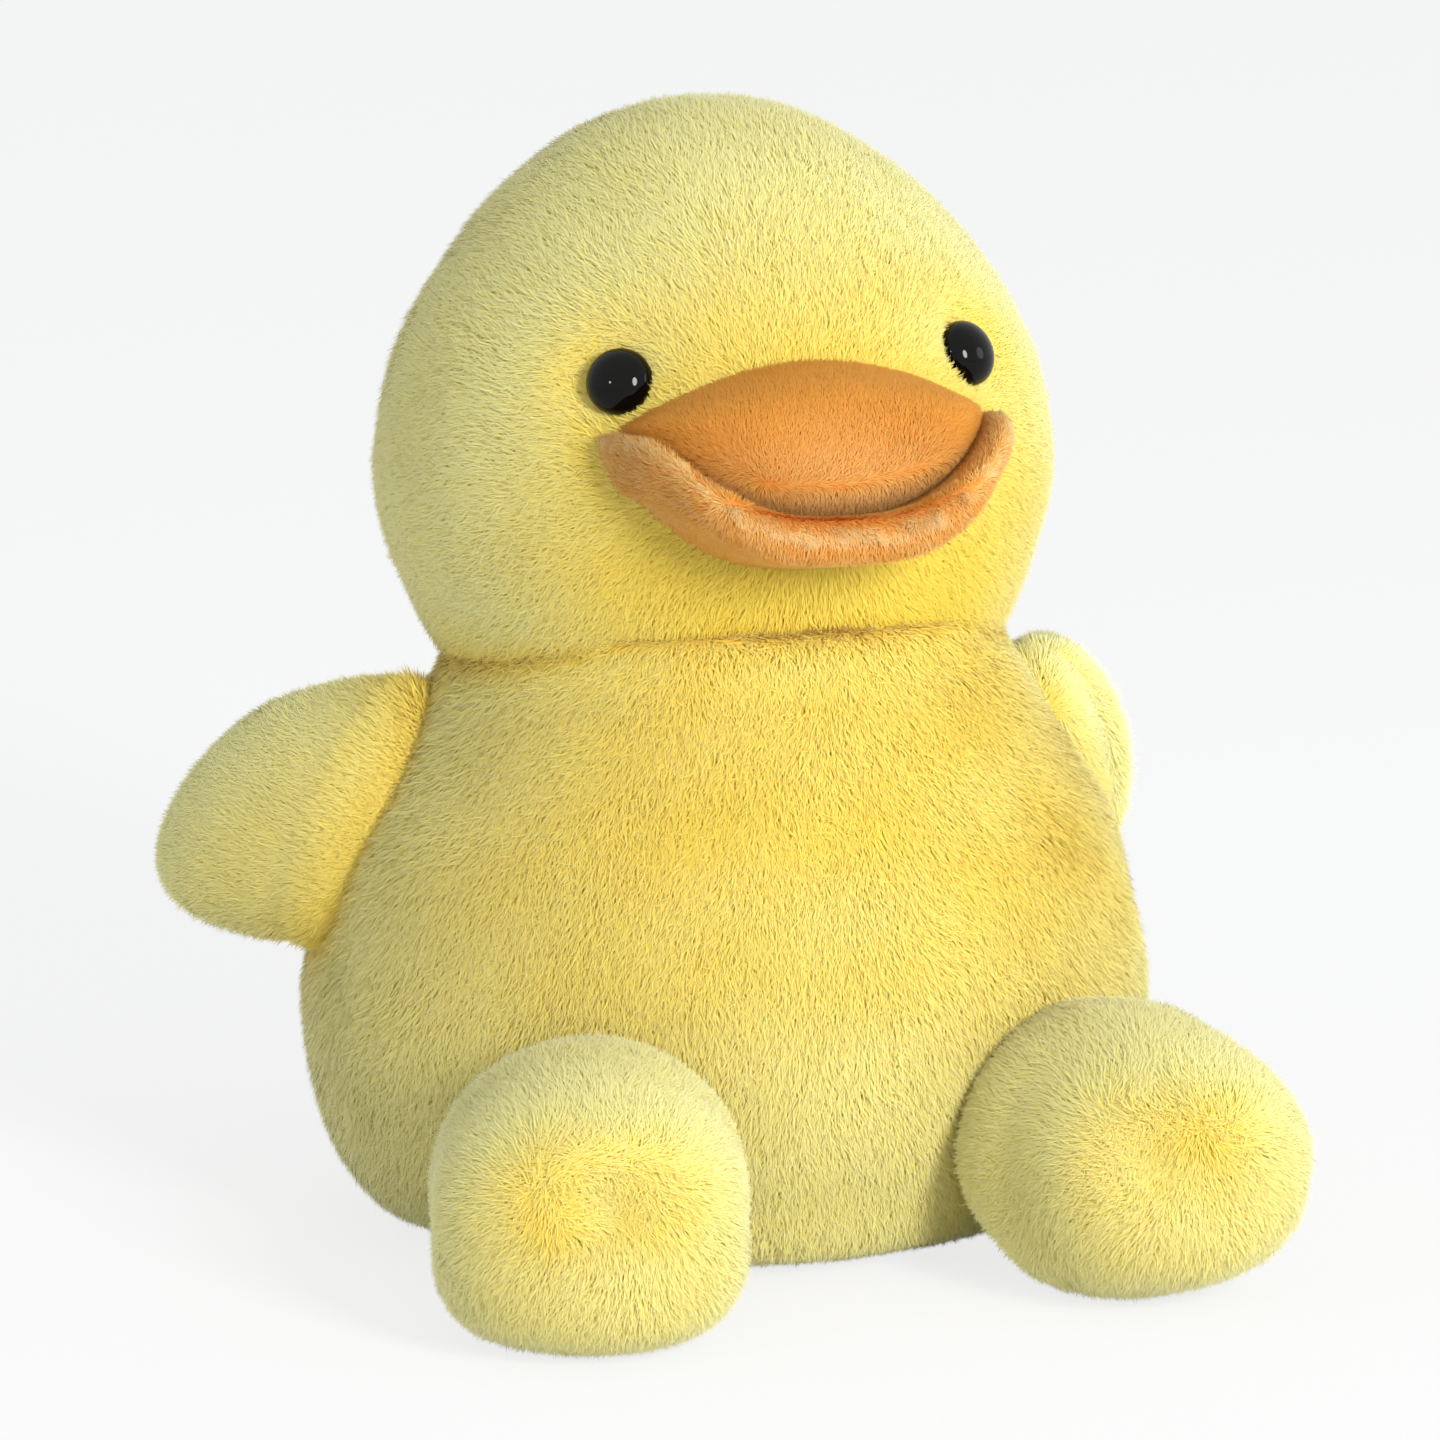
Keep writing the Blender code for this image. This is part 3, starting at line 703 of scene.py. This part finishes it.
def tips(rng, root, up, nap, seed, length, lean, tuft, swirl, shorter):
    """Where the strands end, leaning along the nap."""
    count = len(root)
    small = SMALL_SWIRL_SHARE * waves(root, SMALL_SWIRL_SIZE, seed + 2)
    flow = nap(root) + swirl * (waves(root, SWIRL_SIZE, seed + 1) + small)
    flow = unit(flow - up * (flow * up).sum(1, keepdims=True))
    flow = turned_about(up, flow, rng.normal(0, TURN_NOISE, count)[:, None])
    patch = waves(root, PATCH_SIZE, seed + 3)[:, 0]
    angle = (lean + PATCH_LEAN * patch + rng.normal(0, LEAN_NOISE, count))[:, None]
    reach = length * (1 + rng.normal(0, LENGTH_NOISE, count))
    if shorter is not None:
        reach = reach * shorter(root)
    tip = root + reach[:, None] * (np.cos(angle) * up + np.sin(angle) * flow)
    return tip + tuft * waves(root, TUFT_SIZE, seed + 4)


def strands_between(rng, root, tip, up, width):
    """The three points of each strand, and the direction that it is lit as facing."""
    count = len(root)
    spine = unit(tip - root)
    twist = rng.uniform(-TWIST_MOST, TWIST_MOST, count)[:, None]
    side = turned_about(spine, unit(np.cross(spine, up)), twist)
    half = (width / 2 / math.sqrt(DENSITY_SHARE) * rng.uniform(*WIDTH_RANGE, count))[:, None]
    strands = np.stack((root - side * half, root + side * half, tip), axis=1)
    strands[..., 2] = np.maximum(strands[..., 2], SOLE * rng.uniform(0.1, 1, (count, 1)))
    noise = FACING_NOISE * rng.normal(size=(count, 3))
    return strands, unit(up + FACING_TILT * np.cross(side, spine) + noise)


def strand_mesh(name, strands, facing, hue):
    """One triangle for each strand, with its tone, root and tip in its UV map, and its own normal."""
    count = len(strands)
    mesh = bpy.data.meshes.new(name)
    mesh.vertices.add(3 * count)
    mesh.vertices.foreach_set("co", strands.ravel())
    mesh.loops.add(3 * count)
    mesh.loops.foreach_set("vertex_index", np.arange(3 * count))
    mesh.polygons.add(count)
    mesh.polygons.foreach_set("loop_start", np.arange(count) * 3)
    across, upwards = np.array((-1, 1, 0)) * UV_HALF_WIDTH, np.array((0, 0, 1))
    uv = np.stack((hue[:, None] + across, np.broadcast_to(upwards, (count, 3))), axis=2)
    mesh.uv_layers.new(name="strand").data.foreach_set("uv", uv.ravel())
    mesh.update(calc_edges=True)
    mesh.shade_smooth()
    normals = mesh.attributes.new("custom_normal", "FLOAT_VECTOR", "POINT")
    normals.data.foreach_set("vector", np.repeat(facing, 3, axis=0).ravel())
    return mesh


def make_pile(
    name, skin, finish, count, nap, seed, length, width,
    others=(), lean=0.75, tone=None, shown=None, shorter=None,
    hidden_depth=1.6 * MM, crease=2.2 * MM, tuft=0.12 * MM, swirl=0.3,
):
    """Strands on a skin: each one a thin triangle from its root to its tip.

    Others are the skins that the pile dips under, and near them, within the reach given for the crease, its tone
    is deepened as painted shade.
    """
    rng = np.random.default_rng(seed)
    points, normals, corners = values_of(skin.data)
    near, depth = nearness(points, others, crease)
    kept = (depth < hidden_depth).astype(float)
    if shown is not None:
        kept *= shown(points, normals)
    # Painted shade: deeper in colour the nearer the other skins, in the creases where shade falls
    deep = near * CREASE_PAINTED_SHADE
    if tone is not None:
        deep = np.maximum(deep, tone(points, normals))
    count = int(count * DENSITY_SHARE)
    chosen, share = spread(rng, points, corners, kept, count)
    root = at_roots(points, chosen, share)
    up = unit(at_roots(normals, chosen, share))
    tip = tips(rng, root, up, nap, seed, length, lean, tuft, swirl, shorter)
    strands, facing = strands_between(rng, root, tip, up, width)
    hue = at_roots(deep, chosen, share) + rng.normal(HUE_SHIFT, HUE_NOISE, count)
    return finished(name, strand_mesh(name, strands, facing, np.clip(hue, *HUE_RANGE)), finish)


def pile_layers(owner, skin, count, nap, seed, **extra):
    """The pile of one piece in layers of strands, each an object of its own that rides with it."""
    for number, (label, longer, lean) in enumerate(LAYERS):
        made = make_pile(
            f"{owner}_{label}", skin, YELLOW_PILE, count, nap, seed + 10 * number,
            PILE_LENGTH * longer, PILE_WIDTH, lean=lean, **extra,
        )
        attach(made, owner)


# Tones, from 0 for pale pile to 1 for pile as deep in colour as at its roots


def painted_front_tone(strength, low=0.35, high=0.95, pale_below=None, toward=(-0.15, -1, 0.05)):
    """Painted light: the pile is more golden where it faces forwards, towards the camera and the key lamp, and
    paler to the sides, as it looks under that light; paler again low down.
    """

    def tone(points, normals):
        facing = normals @ unit(np.array(toward))
        uneven = 0.92 + 0.08 * waves(points, 9 * MM, 91)[:, 0]
        golden = strength * ease(facing, low, high) * uneven
        if pale_below is not None:
            golden *= 0.25 + 0.75 * ease(points[:, 2], pale_below / 3, pale_below)
        return golden

    return tone


def foot_tone(side_name):
    """Golden in the parting as well, in an uneven patch."""

    def tone(points, normals):
        apart = np.linalg.norm(parting(side_name, points), axis=1)
        uneven = 0.5 + 0.2 * waves(points, 4 * MM, 95)[:, 0]
        golden = uneven * np.exp(-((apart / DIMPLE_RADIUS) ** 2))
        return painted_front_tone(FOOT_PAINTED_FRONT)(points, normals) + golden

    return tone


def puff_painted_light(points, _normals):
    """Painted light: paler where the puff turns under, towards the lower bill, to lift the shade on its downturned
    part.
    """
    return 0.2 + 0.75 * ease((points - HEAD_CENTRE) @ HEAD_UP, -6 * MM, 3 * MM)


def lip_tone(points, normals):
    """Paler at its two corners, as painted light that lifts the shade in them, and in a broken row along the seam
    of its outer edge.
    """
    across = np.abs((points - HEAD_CENTRE) @ HEAD_PLACE[1][:, 0]) / LIP_HALF_WIDTH
    tilt = normals @ HEAD_UP
    row = ease(tilt, -0.2, 0.1) * (1 - ease(tilt, 0.3, 0.6))
    broken = 0.6 + 0.5 * waves(points, 0.9 * MM, 79, 12)[:, 0]
    speckled = 0.6 + 0.2 * waves(points, 1.0 * MM, 78, 12)[:, 0]
    # The corners' paler tone is painted light against their shade; the row along the seam and the speckles are the
    # pile's own
    return speckled - 0.35 * ease(across, 0.6, 1) - 0.6 * row * broken


# Naps: which way the pile lies at each root


def head_nap(root):
    """Away from the bill over the face, and down over the back."""
    back = ease(root[:, 1], -2 * MM, 22 * MM)[:, None]
    return unit(root - FACE) * (1 - back) - UP * (0.25 + back)


def body_nap(root):
    """Downwards, and a little out to the sides."""
    out = root[:, 0] / BODY_HALF_WIDTH * 0.35
    return np.column_stack((out, np.zeros(len(root)), -np.ones(len(root))))


def parting(side_name, root):
    """From the short parting across a foot's dimple to each root."""
    place = foot_place(side_name)
    dimple = out_of(place, unit(np.array(DIMPLES[side_name])) * FOOT_TOE)
    along = place[1][:, 0]
    reach = np.clip((root - dimple) @ along, -PARTING_REACH, PARTING_REACH)
    return root - dimple - reach[:, None] * along


def foot_nap(side_name):
    """Away from the parting, and downwards."""

    def nap(root):
        apart = parting(side_name, root)
        away = ease(np.linalg.norm(apart, axis=1), 0, 2 * DIMPLE_RADIUS)[:, None]
        return unit(apart) * (0.3 + 0.7 * away) - (0.55 - 0.3 * away) * UP

    return nap


def wing_nap(side_name):
    """Towards the tip, and a little down."""
    tip = -wing_place(side_name)[1][:, 1]

    def nap(root):
        return np.broadcast_to(tip - 0.35 * UP, root.shape)

    return nap


def tail_nap(root):
    """From the body to the tip."""
    return np.broadcast_to(tail_place()[1][:, 1], root.shape)


def bill_nap(root):
    """Away from the line where the two halves meet, up over the puff and down over the lower bill."""
    across = HEAD_PLACE[1][:, 0]
    reach = np.clip((root - BILL_FRONT) @ across, -BILL_LINE, BILL_LINE)
    return unit(root - BILL_FRONT - reach[:, None] * across)


# Where the pile is short, and where it is left out


def from_eye(side_name, points):
    eye = out_of(HEAD_PLACE, eye_seat(side_name)[0])
    return np.linalg.norm(points - eye, axis=1)


def short_at_eyes(root):
    shorter = np.ones(len(root))
    for side_name in SIDES:
        away = ease(from_eye(side_name, root), EYE_RADIUS, EYE_RADIUS + EYE_SHORT_REACH)
        shorter = np.minimum(shorter, SHORT_SHARE + (1 - SHORT_SHARE) * away)
    return shorter


def short_at_neck(root):
    apart = np.linalg.norm(root - HEAD_CENTRE, axis=1) - NECK_RADIUS + PILE_DEPTH
    return SHORT_SHARE + (1 - SHORT_SHARE) * ease(apart, 0, NECK_SHORT_REACH)


def head_shown(points, _normals):
    """All but the eyes' seats and the part that stays inside the body in every pose."""
    kept = np.ones(len(points))
    for side_name in SIDES:
        kept *= from_eye(side_name, points) > EYE_BARE_SHARE * EYE_RADIUS
    return kept * ((points - HEAD_CENTRE) @ HEAD_UP > -HEAD_HIDDEN_DROP)


def body_shown(points, _normals):
    """All but the cup that the head lies in."""
    apart = np.linalg.norm(points - HEAD_CENTRE, axis=1)
    return apart > NECK_RADIUS - PILE_DEPTH + CUP_GAP + NECK_RIM


def seam_shown(points, normals):
    """Patches along the lower bill's outer edge, where its two panels are sewn together."""
    tilt = normals @ HEAD_UP
    on_edge = ease(tilt, -0.2, 0.2) * (1 - ease(tilt, 0.4, 0.7))
    outward = (normals * unit(points - LIP_MIDDLE)).sum(1) > 0.5
    patches = waves(points, 0.8 * MM, 77, 12)[:, 0] > 0.45
    return on_edge * outward * (0.08 + patches)


# Eyes and thread


def turned_round(shape, parts, steps):
    """Parts of a bmesh turned once round its Z axis."""
    bmesh.ops.spin(
        shape, geom=parts, cent=(0, 0, 0), axis=(0, 0, 1), angle=math.tau, steps=steps, use_merge=True
    )


def make_eye(side_name, finish):
    """A turned dome on a flat flange."""
    shape = bmesh.new()
    profile = [
        (0, -EYE_FLANGE),
        (EYE_RADIUS * EYE_FLANGE_RADIUS_SHARE, -EYE_FLANGE),
        (EYE_RADIUS, -EYE_FLANGE_BEVEL_SHARE * EYE_FLANGE),
    ]
    rings = np.linspace(0, math.pi / 2, EYE_RINGS)[:-1]
    profile += [(EYE_RADIUS * math.cos(ring), EYE_DOME * math.sin(ring)) for ring in rings]
    profile += [(0, EYE_DOME)]
    points = [shape.verts.new((radius, 0, height)) for radius, height in profile]
    edges = [shape.edges.new(pair) for pair in zip(points, points[1:])]
    turned_round(shape, points + edges, EYE_SEGMENTS)
    bmesh.ops.remove_doubles(shape, verts=shape.verts, dist=0.01 * MM)
    bmesh.ops.recalc_face_normals(shape, faces=shape.faces)
    for vertex in shape.verts:
        vertex.co = out_of(HEAD_PLACE, out_of(eye_seat(side_name), np.array(vertex.co)))
    name = f"{side_name}_eye_dome"
    return finished(name, smooth_mesh(name, shape), finish, "head", (f"{side_name}_eye",))


def make_thread(finish):
    """A waxed thread round the closing seam, where the head's skin meets the edge of the body's."""
    shape = bmesh.new()
    ball = NECK_RADIUS - PILE_DEPTH + THREAD_RADIUS
    height = -NECK_DROP - THREAD_SINK
    radius = math.sqrt(ball**2 - height**2)
    section = bmesh.ops.create_circle(shape, segments=THREAD_SIDES, radius=THREAD_RADIUS)["verts"]
    for vertex in section:
        vertex.co = (radius + vertex.co.x, 0, height + vertex.co.y)
    turned_round(shape, section + list(shape.edges), THREAD_STEPS)
    bmesh.ops.recalc_face_normals(shape, faces=shape.faces)
    for vertex in shape.verts:
        vertex.co = out_of(HEAD_PLACE, np.array(vertex.co))
    name = "neck_thread_loop"
    return finished(name, smooth_mesh(name, shape), finish, "neck", ("neck_thread",))


# Floor, lights and camera


def camera_only(tree):
    """1 for what the camera, a reflection or a clear material sees, and 0 for what lights the duck."""
    path = add(tree, "ShaderNodeLightPath")
    seen = path.outputs["Is Camera Ray"]
    for kind in ("Is Glossy Ray", "Is Transmission Ray"):
        links = {0: seen, 1: path.outputs[kind]}
        seen = add(tree, "ShaderNodeMath", {"operation": "MAXIMUM"}, links).outputs[0]
    return seen


def mixed(tree, factor, first, second):
    """A mix of two shaders by a number or by a socket."""
    links = {1: first.outputs[0], 2: second.outputs[0]}
    if isinstance(factor, float):
        return add(tree, "ShaderNodeMixShader", {"Fac": factor}, links)
    return add(tree, "ShaderNodeMixShader", links={0: factor, **links})


def make_floor():
    """White paper that keeps the duck's shadow, and glows only to the camera."""
    shape = bmesh.new()
    bmesh.ops.create_grid(shape, x_segments=1, y_segments=1, size=FLOOR_HALF_WIDTH)
    made = bpy.data.materials.new("white paper floor")
    made.use_nodes = True
    tree = made.node_tree
    tree.nodes.clear()
    paper = add(tree, "ShaderNodeBsdfDiffuse", {"Color": PAPER_COLOUR})
    glow = add(tree, "ShaderNodeEmission", {"Color": WHITE, "Strength": 1.0})
    mix = mixed(tree, camera_only(tree), paper, mixed(tree, PAPER_GLOW_SHARE, paper, glow))
    add(tree, "ShaderNodeOutputMaterial", links={"Surface": mix.outputs[0]})
    finished("floor", smooth_mesh("floor", shape), made)


def make_world():
    """A soft pale blue fill light, before a background that the camera sees as white."""
    world = bpy.data.worlds.new("studio")
    bpy.context.scene.world = world
    world.use_nodes = True
    tree = world.node_tree
    tree.nodes.clear()
    fill = add(tree, "ShaderNodeBackground", {"Color": FILL_COLOUR, "Strength": FILL_STRENGTH})
    white = add(tree, "ShaderNodeBackground", {"Color": WHITE, "Strength": 1.0})
    mix = mixed(tree, camera_only(tree), fill, white)
    add(tree, "ShaderNodeOutputWorld", links={"Surface": mix.outputs[0]})


def make_lamp(name, place, width, height, power):
    """A soft lamp that faces the duck."""
    data = bpy.data.lights.new(name, "AREA")
    data.shape = "ELLIPSE"
    data.size = width
    data.size_y = height
    data.energy = power
    lamp = bpy.data.objects.new(name, data)
    lamp.location = place
    lamp.rotation_euler = (AIM - Vector(place)).to_track_quat("-Z", "Y").to_euler()
    bpy.context.scene.collection.objects.link(lamp)


def make_camera():
    camera = bpy.data.objects.new("camera", bpy.data.cameras.new("camera"))
    bpy.context.scene.collection.objects.link(camera)
    toward = Vector((
        math.sin(VIEW_AZIMUTH) * math.cos(VIEW_ELEVATION),
        -math.cos(VIEW_AZIMUTH) * math.cos(VIEW_ELEVATION),
        math.sin(VIEW_ELEVATION),
    ))
    camera.location = AIM + toward * VIEW_DISTANCE
    camera.rotation_euler = (-toward).to_track_quat("-Z", "Y").to_euler()
    camera.data.sensor_width = SENSOR
    camera.data.lens = SENSOR * VIEW_DISTANCE / (IMAGE_PIXELS * PIXEL)
    camera.data.clip_start = 0.01
    bpy.context.scene.camera = camera


# The skins

head = make_skin("head_skin", YELLOW_BACKING, head_form, HEAD_PLACE, SKIN_DETAIL, PILE_DEPTH)
body = make_skin(
    "body_skin", YELLOW_BACKING, body_form, BODY_PLACE, SKIN_DETAIL, PILE_DEPTH, clear_body
)
tail = make_skin("tail_skin", YELLOW_BACKING, tail_form, tail_place(), TAIL_DETAIL, PILE_DEPTH)
puff = make_skin(
    "upper_bill_skin", ORANGE_BACKING, puff_form, HEAD_PLACE, SKIN_DETAIL, BILL_DEPTH
)
lip = make_skin("lower_bill_skin", ORANGE_BACKING, lip_form, HEAD_PLACE, SKIN_DETAIL, BILL_DEPTH)
feet, wings = {}, {}
for side_name in SIDES:
    for pieces, label, form, place in (
        (feet, "foot", foot_form(side_name), foot_place(side_name)),
        (wings, "wing", wing_form(side_name), wing_place(side_name)),
    ):
        pieces[side_name] = make_skin(
            f"{side_name}_{label}_skin", YELLOW_BACKING, form, place, SKIN_DETAIL, PILE_DEPTH
        )

# Their pile

pile_layers(
    "head", head, HEAD_STRANDS, head_nap, seed=100,
    others=(puff, lip, body),
    crease=3 * MM,
    hidden_depth=4 * MM,
    tone=painted_front_tone(1.02, 0.32, 1.0, toward=(0.08, -1, -0.15)),
    shorter=short_at_eyes,
    shown=head_shown,
)
pile_layers(
    "body", body, BODY_STRANDS, body_nap, seed=200,
    others=(*feet.values(), *wings.values(), head),
    crease=2.6 * MM,
    tone=painted_front_tone(0.8, -0.15, 0.9, pale_below=BODY_PALE_BELOW, toward=(0.12, -1, 0.02)),
    shown=body_shown,
    tuft=0.08 * MM,
    shorter=short_at_neck,
)
for number, side_name in enumerate(SIDES):
    pile_layers(
        f"{side_name}_foot", feet[side_name], FOOT_STRANDS, foot_nap(side_name),
        seed=300 + 50 * number,
        others=(body,),
        tone=foot_tone(side_name),
        swirl=0.55,
    )
    pile_layers(
        f"{side_name}_wing", wings[side_name], WING_STRANDS, wing_nap(side_name),
        seed=400 + 50 * number,
        others=(body,),
        tone=painted_front_tone(WING_PAINTED_FRONT[side_name]),
        crease=WING_PAINTED_SHADE_REACH[side_name],
    )

tail_pile = make_pile(
    "tail_pile", tail, YELLOW_PILE, TAIL_STRANDS, tail_nap, 500, PILE_LENGTH, PILE_WIDTH,
    others=(body,),
)
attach(tail_pile, "body")

for name, skin, seed, others, tone in (
    ("upper_bill_pile", puff, 600, (lip,), puff_painted_light),
    ("lower_bill_pile", lip, 650, (puff,), lip_tone),
):
    made = make_pile(
        name, skin, ORANGE_PILE, BILL_STRANDS, bill_nap, seed, BILL_PILE_LENGTH, BILL_PILE_WIDTH,
        others=others,
        lean=1.15,
        tuft=0.04 * MM,
        hidden_depth=0.6 * MM,
        crease=1.5 * MM,
        swirl=0.25,
        tone=tone,
    )
    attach(made, "head")

# Pale curls that stand up a little along the seam
tufts = make_pile(
    "lower_bill_seam_tufts", lip, ORANGE_PILE, TUFT_STRANDS, bill_nap, 680,
    0.7 * BILL_PILE_LENGTH, BILL_PILE_WIDTH,
    others=(puff,),
    lean=0.95,
    tuft=0.28 * MM,
    hidden_depth=0.3 * MM,
    crease=0.6 * MM,
    swirl=0.6,
    shown=seam_shown,
)
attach(tufts, "head")

# Fillings, where the skins have left the solids' own forms

for label, form, place, depth, body_name, node in (
    *(
        (f"{s}_wing", wing_form(s), wing_place(s), PILE_DEPTH, f"{s}_wing", f"{s}_wing_stuffing")
        for s in SIDES
    ),
    ("upper_bill", puff_form, HEAD_PLACE, BILL_DEPTH, "head", "upper_bill_stuffing"),
    ("lower_bill", lip_form, HEAD_PLACE, BILL_DEPTH, "head", "lower_bill_padding"),
):
    stuffing = make_skin(
        f"{label}_filling", INNER["fibre"], form, place, FILLING_DETAIL, depth + COVER_DEPTH
    )
    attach(stuffing, body_name)
    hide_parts(node)

for skin, body_name, slot, node in (
    (head, "head", "yellow_plush", "head_cover"),
    (body, "body", "yellow_plush", "body_cover"),
    (tail, "body", "yellow_plush", "tail_cover"),
    (puff, "head", "orange_plush", "upper_bill_cover"),
    (lip, "head", "orange_plush", "lower_bill_cover"),
    *((feet[s], f"{s}_foot", "yellow_plush", f"{s}_foot_cover") for s in SIDES),
    *((wings[s], f"{s}_wing", "yellow_plush", f"{s}_wing_cover") for s in SIDES),
):
    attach(skin, body_name)
    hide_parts(node)

# Eyes, thread and the finish of the inner pieces

for side_name in SIDES:
    make_eye(side_name, EYE_BLACK)
make_thread(INNER["thread"])
for row in frame["record"]["subparts"]:
    if row["material_slot"] in INNER:
        node = frame["nodes"][row["node"]]
        node.data.materials.clear()
        node.data.materials.append(INNER[row["material_slot"]])

make_floor()
make_world()
for lamp in LAMPS:
    make_lamp(*lamp)
make_camera()
bpy.context.scene.view_settings.view_transform = "Standard"
